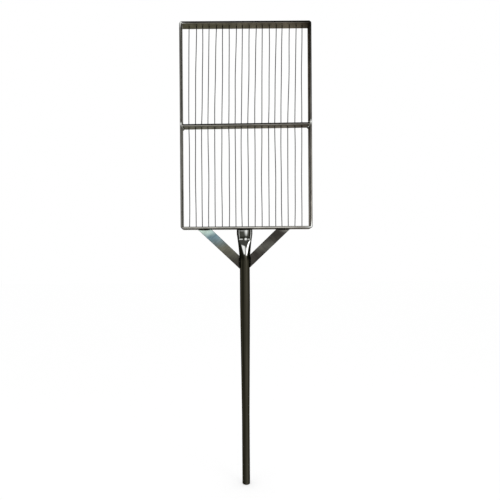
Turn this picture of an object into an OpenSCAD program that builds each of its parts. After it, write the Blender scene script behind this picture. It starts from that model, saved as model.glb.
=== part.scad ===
// Curd harp: a hoop of bent flat bar, strung with cutting wires, on a long tapered tube handle.
// Sizes are in millimetres. Z runs up the handle, X runs across the wires and Y through the bar.
// The origin is under the middle of the hoop, level with the handle's lower end.

/* [Hoop] */
// Outside width of the hoop
hoop_w = 341; // [280:1:420]
// Outside height of the hoop
hoop_h = 535; // [460:5:640]
// Thickness of the flat bar
bar_t = 6; // [4:0.5:6.5]
// Depth of the flat bar, front to back
bar_d = 28; // [20:1:32]
// Outside radius of the bent corners
corner_r = 7; // [6.5:0.5:15]
// Clear height of the window above the cross bar
upper_window = 257; // [180:0.5:320]
// How much higher the cross bar sits at its +X end than at its other end
cross_lean = 3; // [-5:0.5:5]

/* [Wires] */
// Number of wires
wire_count = 18; // [8:1:24]
// Diameter of a wire
wire_d = 2.2; // [1:0.1:2.4]
// Diameter of the holes that the wires run through
hole_d = 3; // [2.6:0.1:4]
// Depth of the weld plug that closes a hole at its outer face
plug_depth = 2; // [1:0.5:2.5]
// How far a hand-drilled hole may sit off its even mark
drill_scatter = 1.2; // [0:0.1:2]
// How far the upper row of holes sits right of the hoop's middle, and the two lower rows left of it
row_shift = 2.3; // [0:0.1:3]
// How far a wire may bow between two bars
wire_bow = 1; // [0:0.1:1.5]

/* [Handle] */
// Length of the handle, from its lower end to the hoop
handle_len = 665; // [580:5:800]
// How far the handle stands off the hoop's middle, towards +X
handle_shift = -5; // [-10:0.5:10]
// Outside diameter of the tube
tube_d = 26; // [22:0.5:30]
// Wall of the tube
tube_wall = 1.5; // [1:0.1:2]
// Outside diameter of the straight grip
grip_d = 20; // [16:0.5:21]
// Length of the straight grip
grip_len = 180; // [120:10:220]
// Length of the taper between the grip and the full tube
taper_len = 290; // [200:10:320]
// Thickness of the rounded disc that closes the lower end
end_disc_t = 3; // [2.5:0.5:5]

/* [Pressed end] */
// Width of the end that is pressed flat
tab_w = 41; // [38:0.5:44]
// Thickness of the end that is pressed flat
tab_t = 3.5; // [3:0.1:4.5]
// Length of the flat, from the hoop to the crease
tab_len = 25; // [20:1:30]
// Length of the flat ramp below the crease
ramp_len = 37; // [35:1:50]
// Distance from the hoop to the full round tube
press_len = 100; // [90:1:120]

/* [Braces] */
// Width of the brace strip
brace_w = 25; // [20:1:30]
// Thickness of the brace strip
brace_t = 3; // [2:0.5:5]
// Distance from the handle's axis to the outer corner of a brace, along the hoop
brace_reach = 121; // [110:0.5:130]
// Distance from the hoop down to where the lower edge of a brace meets the tube
brace_drop = 103; // [85:0.5:110]
// How much both distances are longer for the -X brace, and shorter for the +X one
brace_uneven = 1.5; // [-3:0.5:3]

/* [Welds] */
// Leg of the fillets on the cross bar
bar_bead = 4; // [2:0.5:5]
// Leg of the fillets on the handle and the braces
strip_bead = 3; // [2:0.5:4]

/* [Hidden] */
$fn = 48;
hoop_z = handle_len;
hoop_top = hoop_z + hoop_h;
window_w = hoop_w - 2 * bar_t;
sill_z = hoop_z + bar_t;
lintel_z = hoop_top - bar_t;
cross_top = lintel_z - upper_window;
cross_foot = cross_top - bar_t;
pitch = window_w / (wire_count + 1);
wire_r = wire_d / 2;
tube_r = tube_d / 2;
grip_r = grip_d / 2;
bore_r = tube_r - tube_wall;
grip_bore_r = grip_r - tube_wall;
// Turn, in degrees from one wire to the next, of the scatter in each row of holes, lowest row first,
// and the side of the hoop's middle to which the row is shifted
scatter_turn = [60.1, 64.7, 235.5];
row_side = [-1, -1, 1];
// Turns of the slow bow and of the small kink in a wire, and of its sway front to back
bow_turn = 111.2;
kink_turn = 67.9;
sway_turn = 149.3;
kink_share = 0.35;
sway_share = 0.5;
wire_steps = 7;
wire_sides = 8;
// Step by which the pressed end stands proud of the round tube where the two join
join_step = 0.05;
join_lap = 2;
spread_power = 1.8;
flatten_rate = 1.1;
press_sides = 48;
press_steps = 12;
cavity_steps = 8;
// Distance from the hoop to the upper end of the hollow
cavity_start = tab_len + 2;
tab_straight = tab_len / 2;
disc_edge_r = 2;
spigot_len = 8;
spigot_gap = 0.05;
brace_gap = 0.05;
brace_steps = 6;
flank_margin = 4;
drill_over = 1;
steel = "#6b6963";
tube_steel = "#4c483f";
wire_steel = "#77767a";
weld_steel = "#8a857a";

function wire_name(i) = str("wire_", i < 10 ? "0" : "", i);

// Middle of hole i in a row: 0 in the lower bar, 1 in the cross bar and 2 in the upper bar
function hole_x(i, row) =
    (i - (wire_count + 1) / 2) * pitch + row_side[row] * row_shift + drill_scatter * sin(scatter_turn[row] * i);

// Middle of wire i at a share u of the height of a window: 0 for the lower one and 1 for the upper one
function window_point(i, window, u) = [
    (1 - u) * hole_x(i, window) + u * hole_x(i, window + 1)
        + wire_bow * sin(bow_turn * (i + 30 * window)) * sin(180 * u)
        + wire_bow * kink_share * sin(kink_turn * (i + 20 * window)) * sin(540 * u),
    wire_bow * sway_share * sin(sway_turn * (i + 10 * window)) * sin(180 * u),
    window == 0 ? sill_z + u * (cross_foot - sill_z) : cross_top + u * upper_window
];

function wire_line(i) = concat(
    [[hole_x(i, 0), 0, hoop_z + plug_depth]],
    [for (k = [0 : wire_steps + 1]) window_point(i, 0, k / (wire_steps + 1))],
    [for (k = [0 : wire_steps + 1]) window_point(i, 1, k / (wire_steps + 1))],
    [[hole_x(i, 2), 0, hoop_top - plug_depth]]
);

function wire_ring(p) = [
    for (k = [0 : wire_sides - 1])
        p + wire_r * [cos(360 * k / wire_sides), sin(360 * k / wire_sides), 0]
];

// Half width of the pressed end at a distance s below the hoop
function half_width(s) =
    let (u = min(1, max(0, (s - tab_straight) / (press_len - tab_straight))))
    tube_r + join_step + (tab_w / 2 - tube_r - join_step) * pow(1 - u, spread_power);

// Half depth of the pressed end where it is round: it flattens as it spreads
function round_depth(s) =
    tube_r + join_step - flatten_rate * (half_width(s) - tube_r - join_step);

// Half depth at which the press stopped: flat down to the crease, then a straight ramp
function ramp_depth(s) =
    tab_t / 2 + max(0, s - tab_len) * (round_depth(tab_len + ramp_len) - tab_t / 2) / ramp_len;

function press_ring(s, inset) = [
    for (k = [0 : press_sides - 1])
        let (turn = 360 * k / press_sides)
        let (round_y = (round_depth(s) - inset) * abs(sin(turn)))
        [
            (half_width(s) - inset) * cos(turn),
            sign(sin(turn)) * min(round_y, ramp_depth(s) - inset),
            hoop_z - s
        ]
];

// Skin over rings that are listed from the lowest to the highest
module loft(rings) {
    sides = len(rings[0]);
    last = len(rings) - 1;
    skin = [
        for (r = [0 : last - 1], k = [0 : sides - 1])
            let (a = r * sides + k, b = r * sides + (k + 1) % sides)
            each [[a, b + sides, b], [a, a + sides, b + sides]]
    ];
    foot = [for (k = [1 : sides - 2]) [0, k, k + 1]];
    head = [for (k = [1 : sides - 2]) [0, k + 1, k] + last * sides * [1, 1, 1]];
    polyhedron([for (ring = rings) each ring], concat(skin, foot, head));
}

// Flat outline with true arcs at its corners
module rounded_outline(w, h, r) {
    square([w - 2 * r, h], center = true);
    square([w, h - 2 * r], center = true);
    for (x = [-1, 1], y = [-1, 1])
        translate([x * (w / 2 - r), y * (h / 2 - r)]) circle(r);
}

// Drills for one row of holes, through a bar with its foot at z, and further by a reach
module hole_row(row, z, reach = 0) {
    for (i = [1 : wire_count])
        translate([hole_x(i, row), 0, z - drill_over])
            cylinder(d = hole_d, h = bar_t + reach + 2 * drill_over);
}

module frame_hoop() color(steel) difference() {
    translate([0, bar_d / 2, hoop_z + hoop_h / 2])
        rotate([90, 0, 0])
            linear_extrude(bar_d)
                difference() {
                    rounded_outline(hoop_w, hoop_h, corner_r);
                    rounded_outline(window_w, hoop_h - 2 * bar_t, corner_r - bar_t);
                }
    hole_row(0, hoop_z);
    hole_row(2, lintel_z);
}

// Cross bar before it is drilled, cut upright at both ends
module cross_stock() translate([0, bar_d / 2, cross_foot])
    rotate([90, 0, 0])
        linear_extrude(bar_d)
            polygon([
                [-window_w / 2, -cross_lean / 2],
                [window_w / 2, cross_lean / 2],
                [window_w / 2, cross_lean / 2 + bar_t],
                [-window_w / 2, -cross_lean / 2 + bar_t]
            ]);

module cross_bar() color(steel) difference() {
    cross_stock();
    translate([0, 0, -abs(cross_lean) / 2]) hole_row(1, cross_foot, abs(cross_lean));
}

module wire(i) color(wire_steel) loft([for (p = wire_line(i)) wire_ring(p)]);

module wire_plugs(row, z) color(weld_steel)
    for (i = [1 : wire_count])
        translate([hole_x(i, row), 0, z]) cylinder(d = hole_d, h = plug_depth);

module wire_plugs_top() wire_plugs(2, hoop_top - plug_depth);

module wire_plugs_bottom() wire_plugs(0, hoop_z);

// Turned body of the handle below its pressed end, from z = foot up
module handle_core(foot, r_grip, r_tube) rotate_extrude()
    polygon([
        [0, foot],
        [r_grip, foot],
        [r_grip, grip_len],
        [r_tube, grip_len + taper_len],
        [r_tube, hoop_z - press_len + join_lap],
        [0, hoop_z - press_len + join_lap]
    ]);

module handle_skin() {
    handle_core(end_disc_t, grip_r, tube_r);
    loft(concat(
        [for (k = [0 : press_steps - 1]) press_ring(press_len - (press_len - tab_len) * k / press_steps, 0)],
        [for (s = [tab_len, tab_straight, 0]) press_ring(s, 0)]
    ));
}

module handle_hollow() {
    handle_core(end_disc_t - drill_over, grip_bore_r, bore_r);
    loft([
        for (k = [0 : cavity_steps])
            press_ring(press_len - (press_len - cavity_start) * k / cavity_steps, tube_wall)
    ]);
}

// Puts what is built round the handle's axis in its place under the hoop
module on_handle() translate([handle_shift, 0, 0]) children();

module handle_tube() color(tube_steel) on_handle() difference() {
    handle_skin();
    handle_hollow();
}

module handle_end_plug() color(tube_steel) on_handle() rotate_extrude() {
    square([grip_r - disc_edge_r, end_disc_t]);
    translate([0, disc_edge_r]) square([grip_r, end_disc_t - disc_edge_r]);
    translate([grip_r - disc_edge_r, disc_edge_r]) intersection() {
        circle(disc_edge_r);
        translate([0, -disc_edge_r]) square(disc_edge_r);
    }
    square([grip_bore_r - spigot_gap, end_disc_t + spigot_len]);
}

// Brace whose distances are longer by more: its slope, its inner corner along the hoop, and the distance from the
// hoop down to where its upper edge meets the tube
function brace_slope(more) = (brace_drop + more) / (brace_reach + more - tube_r);

function brace_inner(more) = brace_reach + more - brace_w / sin(atan(brace_slope(more)));

function brace_notch(more) = (brace_inner(more) - tube_r - brace_gap) * brace_slope(more);

// Brace on the +X side, cut at its lower end to the flank of the tube
module brace(more) color(steel)
    translate([0, brace_t / 2, hoop_z])
        rotate([90, 0, 0])
            linear_extrude(brace_t)
                polygon(concat(
                    [[brace_reach + more, 0], [brace_inner(more), 0]],
                    [
                        for (k = [0 : brace_steps])
                            let (notch = brace_notch(more))
                            let (s = notch + (brace_drop + more - notch) * k / brace_steps)
                            [half_width(s) + brace_gap, -s]
                    ]
                ));

module brace_right() on_handle() brace(-brace_uneven);

module brace_left() on_handle() mirror([1, 0, 0]) brace(brace_uneven);

// Quarter-round fillet in the corner of +X and +Y, along +Z
module fillet_bead(leg, run) linear_extrude(run) intersection() {
    circle(leg);
    square(leg);
}

module cross_bar_welds() color(weld_steel) difference() {
    for (side = [0, 1], face = [0, 1])
        mirror([side, 0, 0])
            translate([-window_w / 2, bar_d / 2, (cross_top + cross_foot) / 2 + (side - 0.5) * cross_lean])
                mirror([0, 0, face])
                    translate([0, 0, bar_t / 2])
                        rotate([90, 0, 0]) fillet_bead(bar_bead, bar_d);
    cross_stock();
}

// Fillets under the hoop, on the front and back of a strip that reaches from x_from to x_to
module strip_beads(x_from, x_to, thickness)
    for (face = [0, 1])
        mirror([0, face, 0])
            translate([x_from, thickness / 2, hoop_z])
                rotate([0, 90, 0]) fillet_bead(strip_bead, x_to - x_from);

module handle_welds() color(weld_steel) on_handle()
    strip_beads(-tab_w / 2 + flank_margin, tab_w / 2 - flank_margin, tab_t);

// Beads where the +X brace meets the hoop and the flank of the tube
module brace_welds(more) color(weld_steel) {
    reach = brace_reach + more;
    drop = brace_drop + more;
    top = brace_notch(more) + flank_margin;
    foot = drop - flank_margin;
    mid = (top + foot) / 2;
    lean = atan((half_width(top) - half_width(foot)) / (foot - top));
    strip_beads(brace_inner(more) + flank_margin, reach - flank_margin, brace_t);
    difference() {
        for (face = [-1, 1])
            translate([half_width(mid), face * brace_t / 2, hoop_z - mid])
                rotate([0, lean, 0])
                    cylinder(r = strip_bead, h = foot - top, center = true);
        handle_skin();
        translate([0, -brace_t / 2, hoop_z - drop]) cube([reach, brace_t, drop]);
    }
}

module brace_welds_right() on_handle() brace_welds(-brace_uneven);

module brace_welds_left() on_handle() mirror([1, 0, 0]) brace_welds(brace_uneven);

frame_hoop();
cross_bar();
for (i = [1 : wire_count])
    wire(i);
wire_plugs_top();
wire_plugs_bottom();
handle_tube();
handle_end_plug();
brace_left();
brace_right();
cross_bar_welds();
handle_welds();
brace_welds_left();
brace_welds_right();
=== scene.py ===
"""Curd harp: a strung hoop of flat bar on a long tube handle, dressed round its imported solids."""

import math

import bmesh
import bpy
from mathutils import Euler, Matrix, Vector


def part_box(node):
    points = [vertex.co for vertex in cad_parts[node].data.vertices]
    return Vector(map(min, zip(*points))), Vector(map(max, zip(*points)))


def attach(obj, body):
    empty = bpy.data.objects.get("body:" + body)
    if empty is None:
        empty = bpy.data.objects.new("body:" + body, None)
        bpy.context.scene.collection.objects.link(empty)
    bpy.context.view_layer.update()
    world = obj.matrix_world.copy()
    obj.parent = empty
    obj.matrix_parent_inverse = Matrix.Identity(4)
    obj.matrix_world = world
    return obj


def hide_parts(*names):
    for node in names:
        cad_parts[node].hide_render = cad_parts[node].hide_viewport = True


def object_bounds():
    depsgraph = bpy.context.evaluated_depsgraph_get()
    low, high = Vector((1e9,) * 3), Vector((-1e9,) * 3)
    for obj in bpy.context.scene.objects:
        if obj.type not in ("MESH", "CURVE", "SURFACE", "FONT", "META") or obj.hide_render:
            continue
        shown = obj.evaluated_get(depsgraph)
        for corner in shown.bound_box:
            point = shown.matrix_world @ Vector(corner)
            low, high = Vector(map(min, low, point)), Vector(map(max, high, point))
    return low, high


bl_info = {
    "name": "Curd Harp",
    "version": (1, 0, 0),
    "blender": (4, 5, 0),
    "location": "3D View > Sidebar > Curd Harp",
    "description": "Builds a welded curd harp: hoop, wires, handle, braces and weld beads",
    "category": "Add Mesh",
}

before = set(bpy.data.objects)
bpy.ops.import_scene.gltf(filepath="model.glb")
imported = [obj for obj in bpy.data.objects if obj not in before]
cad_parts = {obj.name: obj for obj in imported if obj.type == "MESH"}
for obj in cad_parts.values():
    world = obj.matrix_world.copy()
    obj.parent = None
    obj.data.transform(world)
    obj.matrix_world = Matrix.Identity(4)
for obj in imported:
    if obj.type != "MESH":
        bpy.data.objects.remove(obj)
CAD_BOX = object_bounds()

# Places of the solids, in metres
HOOP_LOW, HOOP_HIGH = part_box("frame_hoop")
CROSS_LOW, CROSS_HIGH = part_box("cross_bar")
TUBE_LOW, TUBE_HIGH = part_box("handle_tube")
DISC_LOW, DISC_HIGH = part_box("handle_end_plug")
BRACE_BOXES = {-1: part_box("brace_left"), 1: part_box("brace_right")}
WIRE_NODES = sorted(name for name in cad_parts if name.startswith("wire_") and name[-2:].isdigit())

MM = 0.001
WINDOW_W = CROSS_HIGH.x - CROSS_LOW.x
BAR_T = (HOOP_HIGH.x - HOOP_LOW.x - WINDOW_W) / 2
# The cross bar leans: its right end sits higher
CROSS_MID = (CROSS_LOW.z + CROSS_HIGH.z) / 2
CROSS_LEAN = CROSS_HIGH.z - CROSS_LOW.z - BAR_T
WIRE_PITCH = WINDOW_W / (len(WIRE_NODES) + 1)
HANDLE_X = (TUBE_LOW.x + TUBE_HIGH.x) / 2
TAB_HALF = TUBE_HIGH.x - HANDLE_X
# Rows of holes, lowest first: turn of the scatter from one wire to the next, and the side to which the
# row is shifted
ROW_TURNS = [math.radians(turn) for turn in (60.1, 64.7, 235.5)]
ROW_SIDES = (-1, -1, 1)
# Turns of the slow bow and the small kink of a wire and of its sway front to back, and the shares of the
# last two
BOW_TURN, KINK_TURN, SWAY_TURN = (math.radians(turn) for turn in (111.2, 67.9, 149.3))
KINK_SHARE = 0.35
SWAY_SHARE = 0.5


def linear(hex_colour):
    """Linear red, green and blue of an sRGB hex colour."""
    channels = [int(hex_colour[i:i + 2], 16) / 255 for i in (1, 3, 5)]
    return [c / 12.92 if c <= 0.04045 else ((c + 0.055) / 1.055) ** 2.4 for c in channels]


def length_prop(name, description, size):
    """Property for a length, given in millimetres."""
    return bpy.props.FloatProperty(name=name, description=description, default=size * MM, unit="LENGTH")


def colour_prop(name, description, shade):
    """Property for a colour, given as sRGB hex."""
    return bpy.props.FloatVectorProperty(
        name=name, description=description, default=linear(shade), subtype="COLOR"
    )


class HarpSizes(bpy.types.PropertyGroup):
    """Sizes of the harp that its solids leave open or hold as curves."""

    corner_radius: length_prop("Corner radius", "Outside radius of the hoop's bends", 7)
    edge_radius: length_prop("Edge radius", "Rounding of the rolled edges of the bar", 2.5)
    wire_diameter: length_prop("Wire diameter", "Thickness of a cutting wire", 2.2)
    wire_bow: length_prop("Wire bow", "How far a wire bows between two bars", 1)
    hole_diameter: length_prop("Hole diameter", "Holes that the wires run through", 3)
    drill_scatter: length_prop("Drill scatter", "How far a hole sits off its mark", 1.2)
    row_shift: length_prop("Row shift", "How far a row of holes sits off the middle", 2.3)
    plug_depth: length_prop("Plug depth", "Depth of the weld that closes a hole", 2)
    tube_diameter: length_prop("Tube diameter", "Full diameter of the handle tube", 26)
    tube_wall: length_prop("Tube wall", "Wall of the handle tube", 1.5)
    grip_diameter: length_prop("Grip diameter", "Diameter of the swaged grip", 20)
    grip_length: length_prop("Grip length", "Length of the straight grip", 180)
    taper_length: length_prop("Taper length", "Length of the swaged taper", 290)
    tab_thickness: length_prop("Tab thickness", "Thickness of the pressed end", 3.5)
    tab_length: length_prop("Tab length", "Length of the flat above the crease", 25)
    press_length: length_prop("Press length", "From the hoop to the round tube", 100)
    brace_width: length_prop("Brace width", "Width of the brace strip", 25)
    bar_bead: length_prop("Bar bead", "Leg of the fillets on the cross bar", 4)
    strip_bead: length_prop("Strip bead", "Leg of the fillets on handle and braces", 3)


class HarpColours(bpy.types.PropertyGroup):
    """Colours of the harp's steel, many of them painted reflection, highlight or shade."""

    # Painted reflection: tones of faces, side edges and rails change across the hoop, lighter towards the
    # foot
    face_top_left: colour_prop("Face, top left", "Wide faces of the bar, top left", "#615f50")
    face_top_right: colour_prop("Face, top right", "Wide faces of the bar, top right", "#6b6459")
    face_foot_left: colour_prop("Face, foot left", "Wide faces of the bar, bottom left", "#9d9c93")
    face_foot_right: colour_prop("Face, foot right", "Wide faces of the bar, bottom right", "#9c978f")
    edge_top_left: colour_prop("Edge, top left", "Narrow edges of the side bars, top left", "#5c5b55")
    edge_top_right: colour_prop("Edge, top right", "Narrow edges of the side bars, top right", "#3a3833")
    edge_foot_left: colour_prop("Edge, foot left", "Narrow edges of the side bars, bottom left", "#7c7b74")
    edge_foot_right: colour_prop("Edge, foot right", "Narrow edges of the side bars, bottom right", "#9b978f")
    rail_top_left: colour_prop("Rail, top left", "Narrow edges of the lying bars, top left", "#6a6860")
    rail_top_right: colour_prop("Rail, top right", "Narrow edges of the lying bars, top right", "#645f57")
    rail_foot_left: colour_prop("Rail, foot left", "Narrow edges of the lying bars, bottom left", "#b6b4ac")
    rail_foot_right: colour_prop(
        "Rail, foot right", "Narrow edges of the lying bars, bottom right", "#bcb9b1"
    )
    # Painted dark reflection on rounded corners, painted shade in spots, and the darkest weld tone
    painted_shade_and_dark_weld: colour_prop("Bar rounding", "Rounded corners of the bar", "#12110f")
    brace: colour_prop("Brace", "Strips of the braces", "#3d3a36")
    # Heat tints of the left brace with painted reflection; the palest one is painted reflection
    painted_pale_reflection: colour_prop("Painted reflection, palest", "Painted pale reflection on the left brace", "#cde3d7")
    tint_blue: colour_prop("Tint, blue", "Blue heat tint of the left brace", "#77919a")
    tint_straw: colour_prop("Tint, straw", "Straw heat tint of the left brace", "#68685c")
    tube: colour_prop("Tube", "Drawn tube of the handle", "#302e25")
    # Painted dark and light reflection streaks of the tube; the dark one also paints shade on the pressed end
    # and the welds
    tube_painted_dark: colour_prop("Tube, dark", "Painted dark reflection streaks and shade of the tube", "#0e0e07")
    tube_painted_light: colour_prop("Tube, light", "Painted light reflection streaks of the tube", "#48453b")
    tab: colour_prop("Pressed end", "Flattened end of the tube", "#3f403a")
    # Painted highlights on bends, joints, welds and the pressed end
    painted_light: colour_prop("Painted highlight", "Raised metal that was rubbed bright", "#eceeea")
    wire: colour_prop("Wire", "Hard-drawn cutting wire", "#1c1b1a")
    weld: colour_prop("Weld", "Weld beads", "#2a2823")


class HarpStage(bpy.types.PropertyGroup):
    """Camera and light."""

    camera_place: bpy.props.FloatVectorProperty(
        name="Camera place", description="Where the lens is", default=(-0.041, -1.1022, 0.5361),
        subtype="TRANSLATION",
    )
    lens: bpy.props.FloatProperty(name="Lens", description="Focal length in millimetres", default=30.376)
    pitch: bpy.props.FloatProperty(
        name="Pitch", description="How far the camera looks down", default=math.radians(0.26), subtype="ANGLE"
    )
    roll: bpy.props.FloatProperty(
        name="Roll", description="Turn of the camera about its axis", default=math.radians(0.394),
        subtype="ANGLE",
    )
    shift: bpy.props.FloatVectorProperty(
        name="Shift", description="Sideways and upward shift of the picture", default=(0.0378, 0.0611), size=2
    )
    right_lamp: bpy.props.FloatProperty(
        name="Right lamp", description="Power of the lamp at the right", default=2.0, unit="POWER"
    )
    left_lamp: bpy.props.FloatProperty(
        name="Left lamp", description="Power of the lamp at the left", default=0.6, unit="POWER"
    )


# Nodes and pieces


def add_node(tree, kind, links=None, **settings):
    """Add a node with its settings, and feed its sockets from other nodes, sockets or plain values."""
    node = tree.nodes.new(kind)
    for setting, value in settings.items():
        setattr(node, setting, value)
    feed(tree, node, links or {})
    return node


def feed(tree, node, links):
    """Feed a node's sockets, by name or number, from other nodes, sockets or plain values."""
    for name, value in links.items():
        if isinstance(name, int):
            socket = node.inputs[name]
        else:
            socket = next(s for s in node.inputs if s.enabled and s.name == name)
        if isinstance(value, bpy.types.Node):
            value = next(s for s in value.outputs if s.enabled)
        if isinstance(value, bpy.types.NodeSocket):
            tree.links.new(value, socket)
        else:
            socket.default_value = value


def chain(tree, kind, value, *steps):
    """Row of nodes of one kind, each fed by the one before: an operation and its other values for each."""
    for operation, *others in steps:
        value = add_node(tree, kind, {0: value, **dict(enumerate(others, 1))}, operation=operation)
    return value


def new_tree(name, inputs, output="NodeSocketGeometry"):
    """Geometry node tree with named inputs, given as name to socket type, and one output."""
    tree = bpy.data.node_groups.new(name, "GeometryNodeTree")
    for label, kind in inputs.items():
        tree.interface.new_socket(name=label, in_out="INPUT", socket_type="NodeSocket" + kind)
    tree.interface.new_socket(name="Result", in_out="OUTPUT", socket_type=output)
    return tree, tree.nodes.new("NodeGroupInput").outputs


def close_tree(tree, result, material=None):
    """Join a tree's result to its output, realized and in its material where it is a piece."""
    if material is not None:
        result = add_node(tree, "GeometryNodeRealizeInstances", {"Geometry": result})
        result = add_node(tree, "GeometryNodeSetMaterial", {"Geometry": result, "Material": material})
    add_node(tree, "NodeGroupOutput", {"Result": result})
    return tree


def add_object(name, mesh):
    """Object at the origin that shows a mesh."""
    piece = bpy.data.objects.new(name, mesh)
    bpy.context.scene.collection.objects.link(piece)
    return piece


def settle_modifiers(piece):
    """Turn what a piece's modifiers make of it into its own plain mesh."""
    depsgraph = bpy.context.evaluated_depsgraph_get()
    mesh = bpy.data.meshes.new_from_object(
        piece.evaluated_get(depsgraph), preserve_all_data_layers=True, depsgraph=depsgraph
    )
    piece.modifiers.clear()
    piece.data = mesh
    mesh.name = piece.name


def shade(piece, angle=40):
    """Smooth a piece, apart from edges sharper than an angle in degrees, and keep its flats flat."""
    piece.data.shade_smooth()
    piece.data.set_sharp_from_angle(angle=math.radians(angle))
    even = piece.modifiers.new("Even normals", "WEIGHTED_NORMAL")
    even.keep_sharp = True
    settle_modifiers(piece)


def grow(name, tree, values, base=None):
    """Run a tree once, with values by the names of its inputs, and keep the result as a plain mesh."""
    piece = add_object(name, base or bpy.data.meshes.new(name + "_base"))
    modifier = piece.modifiers.new(tree.name, "NODES")
    modifier.node_group = tree
    for item in tree.interface.items_tree:
        if item.name in values:
            modifier[item.identifier] = values[item.name]
    settle_modifiers(piece)
    shade(piece)
    return piece


def mesh_of(bm, name):
    """Mesh of a finished bmesh, which is freed."""
    mesh = bpy.data.meshes.new(name)
    bm.to_mesh(mesh)
    bm.free()
    return mesh


def skin_mesh(name, rings):
    """Closed mesh over rings of equally many points, with a face at each end."""
    bm = bmesh.new()
    loops = [[bm.verts.new(point) for point in ring] for ring in rings]
    sides = len(rings[0])
    for low, high in zip(loops, loops[1:]):
        for k in range(sides):
            after = (k + 1) % sides
            bm.faces.new((low[k], low[after], high[after], high[k]))
    bm.faces.new(reversed(loops[0]))
    bm.faces.new(loops[-1])
    bmesh.ops.recalc_face_normals(bm, faces=bm.faces)
    return mesh_of(bm, name)


def circle(radius, z, sides, x=0.0):
    """Ring of points round an upright axis."""
    turns = [math.tau * k / sides for k in range(sides)]
    return [Vector((x + radius * math.cos(t), radius * math.sin(t), z)) for t in turns]


def settle(piece, slot, *nodes):
    """Make a finished piece ride with the tool and stand for its solids, which it hides; its slot is not
    used.
    """
    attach(piece, "root")
    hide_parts(*nodes)


# Materials


def steel(name, edge_on=0.12):
    """New metal material, as bright as given edge on, with its tree and the place of a point."""
    material = bpy.data.materials.new(name)
    material.use_nodes = True
    tree = material.node_tree
    shader = tree.nodes["Principled BSDF"]
    shader.inputs["Metallic"].default_value = 1.0
    # Metal this dull stays dark where it is seen almost edge on
    shader.inputs["Specular Tint"].default_value = (edge_on, edge_on, edge_on, 1)
    return material, tree, add_node(tree, "ShaderNodeTexCoord").outputs["Object"]


def grain(tree, place, size, low, high, detail=3.0):
    """Noise whose spots have a real size along X, Y and Z, spread from a low to a high value."""
    scaled = add_node(tree, "ShaderNodeMapping", {"Vector": place, "Scale": [1 / side for side in size]})
    noise = add_node(tree, "ShaderNodeTexNoise", {"Vector": scaled, "Scale": 1.0, "Detail": detail})
    return add_node(
        tree, "ShaderNodeMapRange",
        {"Value": noise.outputs["Fac"], "From Min": 0.3, "From Max": 0.7, "To Min": low, "To Max": high},
    )


def colour_run(tree, value, stops):
    """Colours that follow each other along a value, given as place and colour."""
    run = add_node(tree, "ShaderNodeValToRGB", {"Fac": value})
    elements = run.color_ramp.elements
    while len(elements) < len(stops):
        elements.new(1.0)
    for element, (place, colour) in zip(elements, stops):
        element.position = place
        element.color = (*colour, 1)
    return run


def corner_colours(colours, surface):
    """A surface's colours at the hoop's corners: top left, top right, foot left and foot right."""
    corners = ("top_left", "top_right", "foot_left", "foot_right")
    return [getattr(colours, f"{surface}_{corner}") for corner in corners]


def corner_blend(tree, place, corners):
    """Colour that changes evenly across the hoop between the colours at its four corners."""
    axes = add_node(tree, "ShaderNodeSeparateXYZ", {"Vector": place}).outputs
    across = add_node(
        tree, "ShaderNodeMapRange", {"Value": axes["X"], "From Min": HOOP_LOW.x, "From Max": HOOP_HIGH.x}
    )
    down = add_node(
        tree, "ShaderNodeMapRange", {"Value": axes["Z"], "From Min": HOOP_HIGH.z, "From Max": HOOP_LOW.z},
        interpolation_type="SMOOTHSTEP",
    )
    rows = [
        add_node(
            tree, "ShaderNodeMix", {"Factor": across, "A": (*left, 1), "B": (*right, 1)}, data_type="RGBA"
        )
        for left, right in (corners[:2], corners[2:])
    ]
    return add_node(tree, "ShaderNodeMix", {"Factor": down, "A": rows[0], "B": rows[1]}, data_type="RGBA")


def turn_to(tree, colour, beyond, value, start, end, shares=(0.0, 1.0)):
    """Colour mixed with another by shares that change smoothly as a value runs from a start to an end."""
    share = add_node(
        tree, "ShaderNodeMapRange",
        {"Value": value, "From Min": start, "From Max": end, "To Min": shares[0], "To Max": shares[1]},
        interpolation_type="SMOOTHSTEP",
    )
    return add_node(tree, "ShaderNodeMix", {"Factor": share, "A": colour, "B": beyond}, data_type="RGBA")


def by_facing(tree, face, rounding, edge, droop=0.0):
    """Colour of flat bar by where it faces, which paints reflection: wide face, rounded corner, or narrow
    edge at front and back.

    The narrow edge's colour, a painted highlight, moves down round the lower corner as its droop goes below
    0."""
    facing = add_node(tree, "ShaderNodeTexCoord").outputs["Normal"]
    axes = add_node(tree, "ShaderNodeSeparateXYZ", {"Vector": facing}).outputs
    across = add_node(tree, "ShaderNodeMath", {0: axes["Y"]}, operation="ABSOLUTE")
    turned = add_node(tree, "ShaderNodeCombineXYZ", {"Y": across, "Z": axes["Z"]})
    middle = add_node(tree, "ShaderNodeCombineXYZ", {"Y": 1.0, "Z": droop})
    near = chain(tree, "ShaderNodeVectorMath", middle, ("NORMALIZE",), ("DOT_PRODUCT", turned))
    # Limits are parts of a normal: 0 on the wide face and 1 in the middle of the narrow edge
    colour = turn_to(tree, face, rounding, across, 0.2, 0.5)
    return turn_to(tree, colour, edge, near.outputs["Value"], 0.91, 0.97)


def spotted(tree, place, colour, beyond, spots):
    """Colour that turns to another in spots, each given by its place across and up, radius and strength."""
    flat = add_node(tree, "ShaderNodeVectorMath", {0: place, 1: (1, 0, 1)}, operation="MULTIPLY")
    for x, z, radius, strength in spots:
        far = add_node(tree, "ShaderNodeVectorMath", {0: flat, 1: (x, 0, z)}, operation="DISTANCE")
        colour = turn_to(tree, colour, (*beyond, 1), far.outputs["Value"], 0.0, radius, (strength, 0.0))
    return colour


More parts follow.
